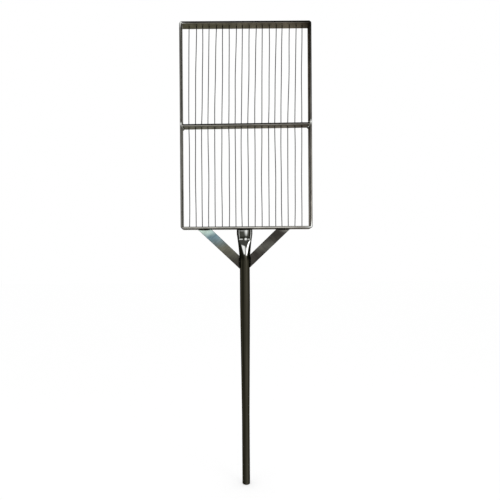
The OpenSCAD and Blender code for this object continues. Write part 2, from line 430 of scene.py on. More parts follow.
def polish(material, colour, lines, contrast, smoothest, roughest, clouds=1.0):
    """Dress a metal in a colour times clouds, with draw lines that stand out and change tone and gloss."""
    tree = material.node_tree
    tone = add_node(
        tree, "ShaderNodeMapRange", {"Value": lines, "To Min": 1 - contrast, "To Max": 1 + contrast}
    )
    tone = add_node(tree, "ShaderNodeMath", {0: tone, 1: clouds}, operation="MULTIPLY")
    toned = add_node(tree, "ShaderNodeVectorMath", {0: colour, "Scale": tone}, operation="SCALE")
    rough = add_node(tree, "ShaderNodeMapRange", {"Value": lines, "To Min": smoothest, "To Max": roughest})
    # Real draw lines are a few hundredths of a millimetre deep
    bump = add_node(tree, "ShaderNodeBump", {"Height": lines, "Strength": 0.25, "Distance": 0.05 * MM})
    shader = tree.nodes["Principled BSDF"]
    feed(tree, shader, {"Base Color": toned, "Roughness": rough, "Normal": bump})
    return material


def rolled_bar_steel(colours):
    """Hot-rolled stainless flat bar, polished by hand: long faint draw lines and cloudy patches.

    Faces turn from olive at the left to brown at the right. The tones of faces and edges across the hoop,
    lighter towards the foot, are painted reflection, and so are the bright edges near the handle and the dark
    rounded corners."""
    material, tree, place = steel("Rolled stainless flat bar")
    # Painted reflection: tones of the faces, the side edges and the lying edges change across the hoop
    face, sides, rails = (
        corner_blend(tree, place, corner_colours(colours, surface)) for surface in ("face", "edge", "rail")
    )
    # The side bars' inner faces take painted reflection tones too
    side_face = corner_blend(
        tree, place,
        (colours.rail_foot_left, colours.face_top_right, colours.rail_foot_left, colours.face_foot_right),
    )
    # Draw lines 1.5 mm apart and 120 mm long: real ones are ten times finer and would not show. They run up
    # the side bars and along the others
    apart, long = 1.5 * MM, 120 * MM
    lying = grain(tree, place, (long, apart, apart), 0.0, 1.0)
    standing = grain(tree, place, (apart, apart, long), 0.0, 1.0)
    axes = add_node(tree, "ShaderNodeSeparateXYZ", {"Vector": place}).outputs
    outward = add_node(tree, "ShaderNodeMath", {0: axes["X"]}, operation="ABSOLUTE")
    # Lying bars give way to the side bars 8 to 5 mm inside the hoop's outer faces
    upright = add_node(
        tree, "ShaderNodeMapRange",
        {"Value": outward, "From Min": HOOP_HIGH.x - 8 * MM, "From Max": HOOP_HIGH.x - 5 * MM},
    )
    lines = add_node(
        tree, "ShaderNodeMix", {"Factor": upright, "A": lying, "B": standing}, data_type="FLOAT"
    )
    clouds = grain(tree, place, [30 * MM] * 3, 0.75, 1.25, detail=4.0)
    face, edge = (
        add_node(tree, "ShaderNodeMix", {"Factor": upright, "A": along, "B": up}, data_type="RGBA")
        for along, up in ((face, side_face), (rails, sides))
    )
    # Painted shade darkens the right end of the cross bar and one bend, and painted glints light two bends
    # and both joints: place across and up, radius and strength of each spot
    left_joint, right_joint = CROSS_MID - CROSS_LEAN / 2, CROSS_MID + CROSS_LEAN / 2
    shade_spots = (
        (HOOP_HIGH.x, HOOP_HIGH.z, 45 * MM, 0.7),
        (CROSS_HIGH.x, right_joint, 70 * MM, 0.35),
    )
    glint_spots = (
        (HOOP_LOW.x + 3 * MM, HOOP_HIGH.z - 3 * MM, 50 * MM, 0.12),
        (HOOP_LOW.x + 3 * MM, HOOP_HIGH.z - 3 * MM, 16 * MM, 0.9),
        (HOOP_HIGH.x - 3 * MM, HOOP_LOW.z + 3 * MM, 22 * MM, 0.9),
        (CROSS_LOW.x - 2 * MM, left_joint + 3 * MM, 7 * MM, 1.0),
        (HOOP_HIGH.x - 1 * MM, right_joint + 4 * MM, 9 * MM, 0.9),
    )
    face, edge = (spotted(tree, place, colour, colours.painted_shade_and_dark_weld, shade_spots) for colour in (face, edge))
    edge = spotted(tree, place, edge, colours.painted_light, glint_spots)
    # Painted highlight: the higher a lying bar, the lower on its corner is its bright line
    foot_droop, top_droop = -0.1, -1.2
    droop = add_node(
        tree, "ShaderNodeMapRange",
        {
            "Value": axes["Z"], "From Min": HOOP_LOW.z, "From Max": HOOP_HIGH.z,
            "To Min": foot_droop, "To Max": top_droop,
        },
    )
    droop = add_node(tree, "ShaderNodeMix", {"Factor": upright, "A": droop, "B": 0.0}, data_type="FLOAT")
    # Painted reflection: dark rounded corners between faces and edges
    colour = by_facing(tree, face, (*colours.painted_shade_and_dark_weld, 1), edge, droop)
    return polish(material, colour, lines, contrast=0.25, smoothest=0.36, roughest=0.5, clouds=clouds)


def brace_strip_steel(colours, name, corner, turn, stops):
    """Cold-rolled stainless strip: draw lines along it, heat tint with painted reflection that fades from its
    outer corner, and painted dark edges.
    """
    material, tree, place = steel(name)
    turned = add_node(tree, "ShaderNodeMapping", {"Vector": place, "Rotation": (0, turn, 0)})
    # Draw lines 3 mm apart and 80 mm long
    lines = grain(tree, turned, (80 * MM, 3 * MM, 3 * MM), 0.0, 1.0)
    clouds = grain(tree, place, [20 * MM] * 3, 0.8, 1.2, detail=1.0)
    # The weld along the hoop heated the whole upper end, and the painted reflection lies along it too, so
    # that tint changes more downwards than across
    far = chain(
        tree, "ShaderNodeVectorMath", place, ("SUBTRACT", corner), ("MULTIPLY", (0.4, 1, 1)), ("LENGTH",)
    )
    tint_reach = 130 * MM
    share = add_node(tree, "ShaderNodeMapRange", {"Value": far.outputs["Value"], "From Max": tint_reach})
    # Painted dark reflection on the strip's narrow edges and rounded corners
    rounding = (*colours.painted_shade_and_dark_weld, 1)
    colour = by_facing(tree, rounding, rounding, colour_run(tree, share, stops))
    return polish(material, colour, lines, contrast=0.12, smoothest=0.2, roughest=0.35, clouds=clouds)


def drawn_tube_steel(colours):
    """Drawn stainless tube, polished lengthwise: dark, with long soft dark and light streaks of painted
    reflection, four of each round the tube.
    """
    material, tree, place = steel("Drawn stainless tube", edge_on=0.06)
    offset = add_node(tree, "ShaderNodeVectorMath", {0: place, 1: (HANDLE_X, 0, 0)}, operation="SUBTRACT")
    axes = add_node(tree, "ShaderNodeSeparateXYZ", {"Vector": offset}).outputs
    front = add_node(tree, "ShaderNodeMath", {0: axes["Y"], 1: -1.0}, operation="MULTIPLY")
    angle = add_node(tree, "ShaderNodeMath", {0: axes["X"], 1: front}, operation="ARCTAN2")
    marks = 4
    # Streaks wander along the tube over about 150 mm
    wander = grain(tree, place, (20 * MM, 20 * MM, 150 * MM), 0.35, 1.0)
    # Painted reflection streaks, of each kind: where its first one lies round from the front, and how narrow
    # it is
    dark, light = (
        chain(
            tree, "ShaderNodeMath", angle,
            ("MULTIPLY_ADD", float(marks), -marks * math.radians(turn)), ("COSINE",),
            ("MULTIPLY_ADD", 0.5, 0.5), ("POWER", narrow), ("MULTIPLY", wander),
        )
        for turn, narrow in ((-26, 6.0), (19, 3.0))
    )
    # The pressed end is duller, with painted shade along its flanks and painted highlights on its folds, lip
    # and facets
    flattened = add_node(
        tree, "ShaderNodeMapRange",
        {"Value": axes["Z"], "From Min": HOOP_LOW.z - 80 * MM, "From Max": HOOP_LOW.z - 50 * MM},
    )
    note = add_node(tree, "ShaderNodeAttribute", attribute_name="painted_light").outputs["Fac"]
    shade_share, painted_light = (
        add_node(tree, "ShaderNodeMath", {0: note, 1: sign}, operation="MULTIPLY", use_clamp=True)
        for sign in (-1.0, 1.0)
    )
    layers = (
        (dark, colours.tube_painted_dark), (light, colours.tube_painted_light), (flattened, colours.tab),
        (shade_share, colours.tube_painted_dark), (painted_light, colours.painted_light),
    )
    colour = (*colours.tube, 1)
    for share, beyond in layers:
        colour = add_node(
            tree, "ShaderNodeMix", {"Factor": share, "A": colour, "B": (*beyond, 1)}, data_type="RGBA"
        )
    # Draw lines 1.5 mm wide and 200 mm long
    lines = grain(tree, place, (1.5 * MM, 1.5 * MM, 200 * MM), 0.0, 1.0)
    return polish(material, colour, lines, contrast=0.2, smoothest=0.14, roughest=0.26)


def drawn_wire_steel(colours):
    """Hard-drawn stainless wire: bright, with dull stretches where curd and brush have worn it."""
    material, tree, place = steel("Hard-drawn stainless wire")
    # Dull stretches about 40 mm long
    dull = grain(tree, place, [40 * MM] * 3, 0.0, 1.0)
    return polish(material, (*colours.wire,), dull, contrast=0.4, smoothest=0.22, roughest=0.4)


def weld_steel(name, shades):
    """Weld metal: rippled, with shades from dark to light: heat tint, with painted glints or painted shadow
    where the given shades are those.
    """
    material, tree, place = steel(name)
    # Tints and painted shades change over about 5 mm
    heat = grain(tree, place, [5 * MM] * 3, 0.0, 1.0, detail=2.0)
    colour = colour_run(tree, heat, [(k / (len(shades) - 1), shade) for k, shade in enumerate(shades)])
    clouds = grain(tree, place, [1.5 * MM] * 3, 0.7, 1.3)
    return polish(material, colour, heat, contrast=0.0, smoothest=0.15, roughest=0.3, clouds=clouds)


# Stage


def show_white(tree, paint):
    """Half white light and half paint to the eye, to metal and to glass, so that shadows stay faint."""
    rays = add_node(tree, "ShaderNodeLightPath").outputs
    half = chain(
        tree, "ShaderNodeMath", rays["Is Camera Ray"],
        ("MAXIMUM", rays["Is Glossy Ray"]), ("MAXIMUM", rays["Is Transmission Ray"]), ("MULTIPLY", 0.5),
    )
    white = add_node(tree, "ShaderNodeEmission", {"Color": (1, 1, 1, 1), "Strength": 1.0})
    both = add_node(tree, "ShaderNodeMixShader", {0: half, 1: paint, 2: white})
    tree.links.new(both.outputs[0], tree.nodes["Material Output"].inputs["Surface"])


class HARP_OT_stage(bpy.types.Operator):
    """Set up the floor, the light and the camera"""

    bl_idname = "harp.stage"
    bl_label = "Stage"

    def execute(self, context):
        scene = context.scene
        stage = scene.harp_stage
        scene.view_settings.view_transform = "Standard"

        floor_size = 60.0
        bm = bmesh.new()
        bmesh.ops.create_grid(bm, x_segments=1, y_segments=1, size=floor_size)
        bmesh.ops.translate(bm, verts=bm.verts, vec=(0, 0, CAD_BOX[0][2]))
        floor = add_object("floor", mesh_of(bm, "floor"))
        white = bpy.data.materials.new("White studio floor")
        white.use_nodes = True
        paint = white.node_tree.nodes["Principled BSDF"]
        paint.inputs["Base Color"].default_value = (*linear("#fefefe"), 1)
        paint.inputs["Roughness"].default_value = 0.9
        paint.inputs["Specular IOR Level"].default_value = 0.0
        show_white(white.node_tree, paint)
        floor.data.materials.append(white)

        world = bpy.data.worlds.new("White studio")
        world.use_nodes = True
        world.node_tree.nodes["Background"].inputs["Color"].default_value = (1, 1, 1, 1)
        scene.world = world

        aim = Vector((HANDLE_X, 0, HOOP_LOW.z - 50 * MM))
        lamp_size = 0.5
        # Name, place from the pressed end and power of each lamp
        lamps = (
            ("left_lamp", (-0.99, -0.83, 0.52), stage.left_lamp),
            ("right_lamp", (0.83, -0.99, 0.52), stage.right_lamp),
        )
        for name, place, power in lamps:
            lamp = bpy.data.lights.new(name, "AREA")
            lamp.shape = "RECTANGLE"
            lamp.size = lamp_size
            lamp.size_y = lamp_size
            lamp.energy = power
            light = bpy.data.objects.new(name, lamp)
            light.location = aim + Vector(place)
            light.rotation_euler = (aim - light.location).to_track_quat("-Z", "Y").to_euler()
            scene.collection.objects.link(light)

        lens = bpy.data.cameras.new("photo_camera")
        lens.lens = stage.lens
        lens.sensor_width = 36.0
        lens.shift_x, lens.shift_y = stage.shift
        camera = bpy.data.objects.new("photo_camera", lens)
        camera.location = stage.camera_place
        camera.rotation_euler = Euler((math.pi / 2 - stage.pitch, stage.roll, 0))
        scene.collection.objects.link(camera)
        scene.camera = camera
        return {"FINISHED"}


# Bars

ROW_INPUTS = {"Count": "Int", "Pitch": "Float", "Scatter": "Float", "Turn": "Float", "Shift": "Float"}
SECTION_INPUTS = {"Thickness": "Float", "Depth": "Float", "Edge Radius": "Float"}


def hole_place_tree():
    """Place across the hoop of a hand-drilled hole, from its number and its row's turn and shift."""
    tree, given = new_tree("Hole place", {"Number": "Float", **ROW_INPUTS}, "NodeSocketFloat")
    middle = chain(tree, "ShaderNodeMath", given["Count"], ("ADD", 1.0), ("MULTIPLY", 0.5))
    stray = chain(
        tree, "ShaderNodeMath", given["Number"],
        ("MULTIPLY", given["Turn"]), ("SINE",), ("MULTIPLY_ADD", given["Scatter"], given["Shift"]),
    )
    place = chain(
        tree, "ShaderNodeMath", given["Number"], ("SUBTRACT", middle), ("MULTIPLY_ADD", given["Pitch"], stray)
    )
    return close_tree(tree, place)


def hole_row_tree():
    """Points at the holes of one row, at one height."""
    tree, given = new_tree("Hole row", {**ROW_INPUTS, "Height": "Float"})
    marks = add_node(tree, "GeometryNodeMeshLine", {"Count": given["Count"]})
    index = add_node(tree, "GeometryNodeInputIndex")
    number = add_node(tree, "ShaderNodeMath", {0: index, 1: 1.0}, operation="ADD")
    across = add_node(
        tree, "GeometryNodeGroup", {"Number": number, **{label: given[label] for label in ROW_INPUTS}},
        node_tree=hole_place_tree(),
    )
    place = add_node(tree, "ShaderNodeCombineXYZ", {"X": across, "Z": given["Height"]})
    return close_tree(tree, add_node(tree, "GeometryNodeSetPosition", {"Geometry": marks, "Position": place}))


def section_tree():
    """Outline of the flat bar, with its rolled edges."""
    tree, given = new_tree("Rolled section", SECTION_INPUTS)
    edge_steps = 6
    outline = add_node(
        tree, "GeometryNodeCurvePrimitiveQuadrilateral",
        {"Width": given["Thickness"], "Height": given["Depth"]},
    )
    outline = add_node(
        tree, "GeometryNodeFilletCurve",
        {"Curve": outline, "Count": edge_steps, "Radius": given["Edge Radius"]}, mode="POLY",
    )
    return close_tree(tree, outline)


def cutter_tree():
    """Drills that stand at the holes of one row."""
    tree, given = new_tree(
        "Row of drills", {**ROW_INPUTS, "Height": "Float", "Diameter": "Float", "Reach": "Float"}
    )
    row = add_node(
        tree, "GeometryNodeGroup", {label: given[label] for label in (*ROW_INPUTS, "Height")},
        node_tree=hole_row_tree(),
    )
    drill_sides = 24
    radius = add_node(tree, "ShaderNodeMath", {0: given["Diameter"], 1: 0.5}, operation="MULTIPLY")
    drill = add_node(
        tree, "GeometryNodeMeshCylinder",
        {"Vertices": drill_sides, "Radius": radius, "Depth": given["Reach"]},
    ).outputs["Mesh"]
    drills = add_node(tree, "GeometryNodeInstanceOnPoints", {"Points": row, "Instance": drill})
    return close_tree(tree, add_node(tree, "GeometryNodeRealizeInstances", {"Geometry": drills}))


def bar_tree(name, section, cutters, closed):
    """Flat bar swept round the hoop, or straight across it, and drilled for the wires."""
    rows = ("1", "2") if closed else ("1",)
    bend_steps = 10
    # Length of a drill, in thicknesses of the bar
    drill_length = 3.0
    inputs = {
        **SECTION_INPUTS, "Width": "Float", "Centre": "Float", "Wires": "Int", "Pitch": "Float",
        "Scatter": "Float", "Hole Diameter": "Float", "Material": "Material",
        **{label + row: "Float" for row in rows for label in ("Turn ", "Shift ", "Row ")},
    }
    inputs.update({"Height": "Float", "Bend Radius": "Float"} if closed else {"Lean": "Float"})
    tree, given = new_tree(name, inputs)
    if closed:
        wide, high = (
            add_node(tree, "ShaderNodeMath", {0: given[side], 1: given["Thickness"]}, operation="SUBTRACT")
            for side in ("Width", "Height")
        )
        path = add_node(tree, "GeometryNodeCurvePrimitiveQuadrilateral", {"Width": wide, "Height": high})
        path = add_node(
            tree, "GeometryNodeFilletCurve",
            {"Curve": path, "Count": bend_steps, "Radius": given["Bend Radius"]}, mode="POLY",
        )
    else:
        run = add_node(tree, "ShaderNodeCombineXYZ", {"X": given["Width"], "Y": given["Lean"]})
        start, end = (
            add_node(tree, "ShaderNodeVectorMath", {0: run, "Scale": share}, operation="SCALE")
            for share in (-0.5, 0.5)
        )
        path = add_node(tree, "GeometryNodeCurvePrimitiveLine", {"Start": start, "End": end})
    outline = add_node(
        tree, "GeometryNodeGroup", {label: given[label] for label in SECTION_INPUTS}, node_tree=section
    )
    bar = add_node(
        tree, "GeometryNodeCurveToMesh", {"Curve": path, "Profile Curve": outline, "Fill Caps": True}
    )
    lift = add_node(tree, "ShaderNodeCombineXYZ", {"Z": given["Centre"]})
    bar = add_node(
        tree, "GeometryNodeTransform",
        {"Geometry": bar, "Translation": lift, "Rotation": Euler((math.pi / 2, 0, 0))},
    )
    reach = add_node(tree, "ShaderNodeMath", {0: given["Thickness"], 1: drill_length}, operation="MULTIPLY")
    for row in rows:
        feeds = {
            "Count": "Wires", "Pitch": "Pitch", "Scatter": "Scatter", "Turn": "Turn " + row,
            "Shift": "Shift " + row, "Height": "Row " + row, "Diameter": "Hole Diameter",
        }
        drills = add_node(
            tree, "GeometryNodeGroup",
            {"Reach": reach, **{label: given[source] for label, source in feeds.items()}}, node_tree=cutters,
        )
        bar = add_node(
            tree, "GeometryNodeMeshBoolean", {"Mesh 1": bar, "Mesh 2": drills},
            operation="DIFFERENCE", solver="EXACT",
        )
    return close_tree(tree, bar, given["Material"])


class HARP_OT_bars(bpy.types.Operator):
    """Bend the drilled hoop and cut the drilled cross bar"""

    bl_idname = "harp.bars"
    bl_label = "Hoop and cross bar"

    def execute(self, context):
        sizes = context.scene.harp_sizes
        section = section_tree()
        cutters = cutter_tree()
        common = {
            "Thickness": BAR_T,
            "Depth": HOOP_HIGH.y - HOOP_LOW.y,
            "Edge Radius": sizes.edge_radius,
            "Wires": len(WIRE_NODES),
            "Pitch": WIRE_PITCH,
            "Scatter": sizes.drill_scatter,
            "Hole Diameter": sizes.hole_diameter,
            "Material": rolled_bar_steel(context.scene.harp_colours),
        }
        hoop = grow(
            "bent_hoop",
            bar_tree("Bent hoop", section, cutters, closed=True),
            {
                **common,
                "Width": HOOP_HIGH.x - HOOP_LOW.x,
                "Height": HOOP_HIGH.z - HOOP_LOW.z,
                "Bend Radius": sizes.corner_radius - BAR_T / 2,
                "Centre": (HOOP_LOW.z + HOOP_HIGH.z) / 2,
                "Turn 1": ROW_TURNS[0],
                "Turn 2": ROW_TURNS[2],
                "Shift 1": ROW_SIDES[0] * sizes.row_shift,
                "Shift 2": ROW_SIDES[2] * sizes.row_shift,
                "Row 1": HOOP_LOW.z + BAR_T / 2,
                "Row 2": HOOP_HIGH.z - BAR_T / 2,
            },
        )
        settle(hoop, "flat_bar", "frame_hoop")
        cross = grow(
            "drilled_cross_bar",
            bar_tree("Cross bar", section, cutters, closed=False),
            {
                **common,
                "Width": WINDOW_W,
                "Lean": CROSS_LEAN,
                "Centre": CROSS_MID,
                "Turn 1": ROW_TURNS[1],
                "Shift 1": ROW_SIDES[1] * sizes.row_shift,
                "Row 1": CROSS_MID,
            },
        )
        settle(cross, "flat_bar", "cross_bar")
        return {"FINISHED"}


# Wires and their plugs


def add_wave(tree, before, number, share, bow, window, turn, ahead, halves, part):
    """Add to a place a wave that is still at both ends of a window."""
    size = chain(
        tree, "ShaderNodeMath", number,
        ("MULTIPLY_ADD", turn, turn * ahead * window), ("SINE",), ("MULTIPLY", bow), ("MULTIPLY", part),
    )
    return chain(
        tree, "ShaderNodeMath", share,
        ("MULTIPLY", math.pi * halves), ("SINE",), ("MULTIPLY_ADD", size, before),
    )


def wire_tree():
    """Upright wires, each straight through its three holes and bowed and kinked a little between them."""
    lengths = (
        "Pitch", "Scatter", "Row Shift", "Bow", "Diameter",
        "Foot", "Sill", "Cross Foot", "Cross Top", "Lintel", "Head",
    )
    tree, given = new_tree(
        "Strung wires", {"Wires": "Int", **dict.fromkeys(lengths, "Float"), "Material": "Material"}
    )
    wire_points = 120
    wire_sides = 12
    foot, head = (add_node(tree, "ShaderNodeCombineXYZ", {"Z": given[end]}) for end in ("Foot", "Head"))
    line = add_node(tree, "GeometryNodeCurvePrimitiveLine", {"Start": foot, "End": head})
    line = add_node(tree, "GeometryNodeResampleCurve", {"Curve": line, "Count": wire_points}, mode="COUNT")
    marks = add_node(tree, "GeometryNodeMeshLine", {"Count": given["Wires"], "Offset": (0, 0, 0)})
    wires = add_node(tree, "GeometryNodeInstanceOnPoints", {"Points": marks, "Instance": line})
    index = add_node(tree, "GeometryNodeInputIndex")
    number = add_node(tree, "ShaderNodeMath", {0: index, 1: 1.0}, operation="ADD")
    wires = add_node(
        tree, "GeometryNodeStoreNamedAttribute", {"Geometry": wires, "Name": "number", "Value": number},
        data_type="FLOAT", domain="INSTANCE",
    )
    wires = add_node(tree, "GeometryNodeRealizeInstances", {"Geometry": wires})
    number = add_node(tree, "GeometryNodeInputNamedAttribute", {"Name": "number"}, data_type="FLOAT")
    place = add_node(tree, "GeometryNodeInputPosition")
    height = add_node(tree, "ShaderNodeSeparateXYZ", {"Vector": place}).outputs["Z"]
    hole_place = hole_place_tree()
    rows = []
    for turn, side in zip(ROW_TURNS, ROW_SIDES):
        shift = add_node(
            tree, "ShaderNodeMath", {0: given["Row Shift"], 1: float(side)}, operation="MULTIPLY"
        )
        feeds = {
            "Number": number, "Count": given["Wires"], "Pitch": given["Pitch"], "Scatter": given["Scatter"],
            "Turn": turn, "Shift": shift,
        }
        rows.append(add_node(tree, "GeometryNodeGroup", feeds, node_tree=hole_place))
    across = rows[0]
    sway = 0.0
    for window, (low, high) in enumerate((("Sill", "Cross Foot"), ("Cross Top", "Lintel"))):
        share = add_node(
            tree, "ShaderNodeMapRange", {"Value": height, "From Min": given[low], "From Max": given[high]}
        )
        across = add_node(
            tree, "ShaderNodeMix", {"Factor": share, "A": across, "B": rows[window + 1]}, data_type="FLOAT"
        )
        # Each wave: the turn from wire to wire, how many wires further on this window starts, its half
        # waves in the window and its share of the bow
        for wave in ((BOW_TURN, 30, 1, 1.0), (KINK_TURN, 20, 3, KINK_SHARE)):
            across = add_wave(tree, across, number, share, given["Bow"], window, *wave)
        sway = add_wave(tree, sway, number, share, given["Bow"], window, SWAY_TURN, 10, 1, SWAY_SHARE)
    bent = add_node(tree, "ShaderNodeCombineXYZ", {"X": across, "Y": sway, "Z": height})
    wires = add_node(tree, "GeometryNodeSetPosition", {"Geometry": wires, "Position": bent})
    radius = add_node(tree, "ShaderNodeMath", {0: given["Diameter"], 1: 0.5}, operation="MULTIPLY")
    ring = add_node(tree, "GeometryNodeCurvePrimitiveCircle", {"Resolution": wire_sides, "Radius": radius})
    wires = add_node(
        tree, "GeometryNodeCurveToMesh", {"Curve": wires, "Profile Curve": ring, "Fill Caps": True}
    )
    return close_tree(tree, wires, given["Material"])


class HARP_OT_wires(bpy.types.Operator):
    """String the cutting wires through the bars"""

    bl_idname = "harp.wires"
    bl_label = "Cutting wires"

    def execute(self, context):
        sizes = context.scene.harp_sizes
        values = {
            "Wires": len(WIRE_NODES),
            "Pitch": WIRE_PITCH,
            "Scatter": sizes.drill_scatter,
            "Row Shift": sizes.row_shift,
            "Bow": sizes.wire_bow,
            "Diameter": sizes.wire_diameter,
            "Foot": HOOP_LOW.z + sizes.plug_depth,
            "Sill": HOOP_LOW.z + BAR_T,
            "Cross Foot": CROSS_MID - BAR_T / 2,
            "Cross Top": CROSS_MID + BAR_T / 2,
            "Lintel": HOOP_HIGH.z - BAR_T,
            "Head": HOOP_HIGH.z - sizes.plug_depth,
            "Material": drawn_wire_steel(context.scene.harp_colours),
        }
        wires = grow("strung_wires", wire_tree(), values)
        settle(wires, "wire", *WIRE_NODES)
        return {"FINISHED"}


def plug_tree():
    """The object's own plug at each hole of a row, tipped over for the lower bar."""
    tree, given = new_tree(
        "Plug welds",
        {"Plug": "Geometry", **ROW_INPUTS, "Height": "Float", "Tip": "Float", "Material": "Material"},
    )
    row = add_node(
        tree, "GeometryNodeGroup", {label: given[label] for label in (*ROW_INPUTS, "Height")},
        node_tree=hole_row_tree(),
    )
    tip = add_node(tree, "ShaderNodeCombineXYZ", {"X": given["Tip"]})
    tip = add_node(tree, "FunctionNodeEulerToRotation", {"Euler": tip})
    plugs = add_node(
        tree, "GeometryNodeInstanceOnPoints", {"Points": row, "Instance": given["Plug"], "Rotation": tip}
    )
    return close_tree(tree, plugs, given["Material"])


class HARP_OT_plugs(bpy.types.Operator):
    """Close the outer ends of the wire holes with plug welds"""

    bl_idname = "harp.plugs"
    bl_label = "Plug welds"

    def execute(self, context):
        sizes = context.scene.harp_sizes
        colours = context.scene.harp_colours
        radius = sizes.hole_diameter / 2
        plug_sides = 16
        # Crown of a ground plug weld, as shares of the hole's radius and of the crown's rise
        rise = 0.15 * MM
        crown = ((1.0, 0.0), (0.9, 0.55), (0.65, 0.9), (0.3, 1.0))
        rings = [circle(radius, -sizes.plug_depth, plug_sides)]
        rings += [circle(radius * wide, rise * high, plug_sides) for wide, high in crown]
        shades = (colours.painted_shade_and_dark_weld, colours.weld, colours.tint_straw)
        values = {
            "Count": len(WIRE_NODES),
            "Pitch": WIRE_PITCH,
            "Scatter": sizes.drill_scatter,
            "Material": weld_steel("Ground plug weld", shades),
        }
        tree = plug_tree()
        # Name, node, row of holes, height and tip of each set
        ends = (
            ("plug_welds_upper", "wire_plugs_top", 2, HOOP_HIGH.z, 0.0),
            ("plug_welds_lower", "wire_plugs_bottom", 0, HOOP_LOW.z, math.pi),
        )
        for name, node, row, height, tip in ends:
            own = {
                "Turn": ROW_TURNS[row], "Shift": ROW_SIDES[row] * sizes.row_shift,
                "Height": height, "Tip": tip,
            }
            plugs = grow(name, tree, {**values, **own}, skin_mesh(name, rings))
            settle(plugs, "weld", node)
        return {"FINISHED"}


# Handle

TUBE_SIDES = 128
# Distance of the pressed wedge's apex below the hoop, and of its crest to the right of the axis
WEDGE_APEX = 50 * MM
WEDGE_CREST = 1.5 * MM
# Rise of the wedge and of the facets down the handle, and fall of the facets to both sides
WEDGE_RISE = 0.26
FACET_RISE = 0.16
LEFT_FALL = 0.19
RIGHT_FALL = 0.25
# Rounding of the corners where wedge and facets cut the flanks, and swelling of the folds and the lip
WEDGE_BLEND = 0.6 * MM
FACET_BLEND = 0.5 * MM
FOLD_SWELL = 0.45 * MM
LIP_SWELL = 0.35 * MM
# Places of the two folds, as shares of the half width
LEFT_FOLD = -0.71
RIGHT_FOLD = 0.8


def half_width(sizes, s):
    """Half width of the pressed end at a distance s below the hoop."""
    spread_power = 1.8
    straight = sizes.tab_length / 2
    u = min(1, max(0, (s - straight) / (sizes.press_length - straight)))
    tube = sizes.tube_diameter / 2
    return tube + (TAB_HALF - tube) * (1 - u) ** spread_power


def round_depth(sizes, s):
    """Half depth of the pressed end where it is still round: it flattens as it spreads."""
    flatten_rate = 1.1
    tube = sizes.tube_diameter / 2
    return tube - flatten_rate * (half_width(sizes, s) - tube)


def soft_min(a, b, blend):
    """Smaller of two values, with the corner between them rounded over a blend."""
    mix = min(1, max(0, 0.5 + 0.5 * (b - a) / blend))
    return b + (a - b) * mix - blend * mix * (1 - mix)


def bell(value, centre, width):
    """Smooth hump of height 1 at a centre."""
    return math.exp(-(((value - centre) / width) ** 2))


def fade(value, full, gone):
    """1 up to full, 0 from gone on, and smooth between them."""
    u = min(1, max(0, (gone - value) / (gone - full)))
    return u * u * (3 - 2 * u)


def within(value, low, high, soft):
    """1 between two limits and 0 outside them, with soft borders."""
    return fade(low - value, -soft, soft) * fade(value - high, -soft, soft)


def flank_depth(sizes, s, across):
    """Half depth of the flanks: round at the tube, and drawn to a lens where the end is spread."""
    lens_end = 55 * MM
    power = 2 - 0.5 * fade(s, lens_end, sizes.press_length)
    return round_depth(sizes, s) * (1 - min(1, abs(across)) ** power) ** (1 / power)


def wedge_depth(sizes, s):
    """Half depth at which the press stopped: flat down to the crease, then a wedge-shaped ramp."""
    return sizes.tab_thickness / 2 + max(0, s - sizes.tab_length) * WEDGE_RISE


def facet_depth(sizes, s, x):
    """Half depth of the two facets that run down from the wedge's sides into the tube."""
    aside = x - WEDGE_CREST
    fall = aside * RIGHT_FALL if aside > 0 else -aside * LEFT_FALL
    ridge = wedge_depth(sizes, WEDGE_APEX) + (s - WEDGE_APEX) * FACET_RISE
    return max(ridge - fall, sizes.tab_thickness / 2)


def press_marks(sizes, s, across):
    """Swelling of the pressed metal, from 0 to 1: along both folds, and in a lip under the crease."""
    fold = max(bell(across, LEFT_FOLD, 0.03), bell(across, RIGHT_FOLD, 0.025)) * fade(s, 18 * MM, 34 * MM)
    lip = bell(s, sizes.tab_length + 1.5 * MM, 1.2 * MM) * fade(abs(across), 0.7, 0.85)
    return fold, lip


def press_point(sizes, s, turn, inset):
    """Point of the pressed end at a distance s below the hoop."""
    across = math.cos(turn)
    x = (half_width(sizes, s) - inset) * across
    y = soft_min(flank_depth(sizes, s, across) - inset, wedge_depth(sizes, s) - inset, WEDGE_BLEND)
    y = max(0, soft_min(y, facet_depth(sizes, s, x) - inset, FACET_BLEND))
    if not inset:
        fold, lip = press_marks(sizes, s, across)
        # The rim stays thin: the swelling is full from a half depth of 1 mm on
        y += (FOLD_SWELL * fold + LIP_SWELL * lip) * min(1, y / (1 * MM))
    return Vector((HANDLE_X + x, math.copysign(y, math.sin(turn)), HOOP_LOW.z - s))


def round_radius(sizes, z):
    """Radius of the round part of the tube: straight grip, long swaged taper, full tube."""
    share = min(1, max(0, (z - sizes.grip_length) / sizes.taper_length))
    return (sizes.grip_diameter + (sizes.tube_diameter - sizes.grip_diameter) * share) / 2


def tube_rings(sizes, inset):
    """Rings of the tube's skin, or of its bore at an inset, from the lower end up to the hoop."""
    press_from = HOOP_LOW.z - sizes.press_length
    steps = 60
    rings = []
    for k in range(steps):
        z = TUBE_LOW.z + (press_from - TUBE_LOW.z) * k / steps
        rings.append(circle(round_radius(sizes, z) - inset, z, TUBE_SIDES, HANDLE_X))
    # The bore ends a little below the crease, where the walls meet
    last = sizes.tab_length + 2 * MM if inset else 0.0
    press_steps = 160
    turns = [math.tau * n / TUBE_SIDES for n in range(TUBE_SIDES)]
    for k in range(press_steps + 1):
        s = sizes.press_length + (last - sizes.press_length) * k / press_steps
        rings.append([press_point(sizes, s, turn, inset) for turn in turns])
    return rings


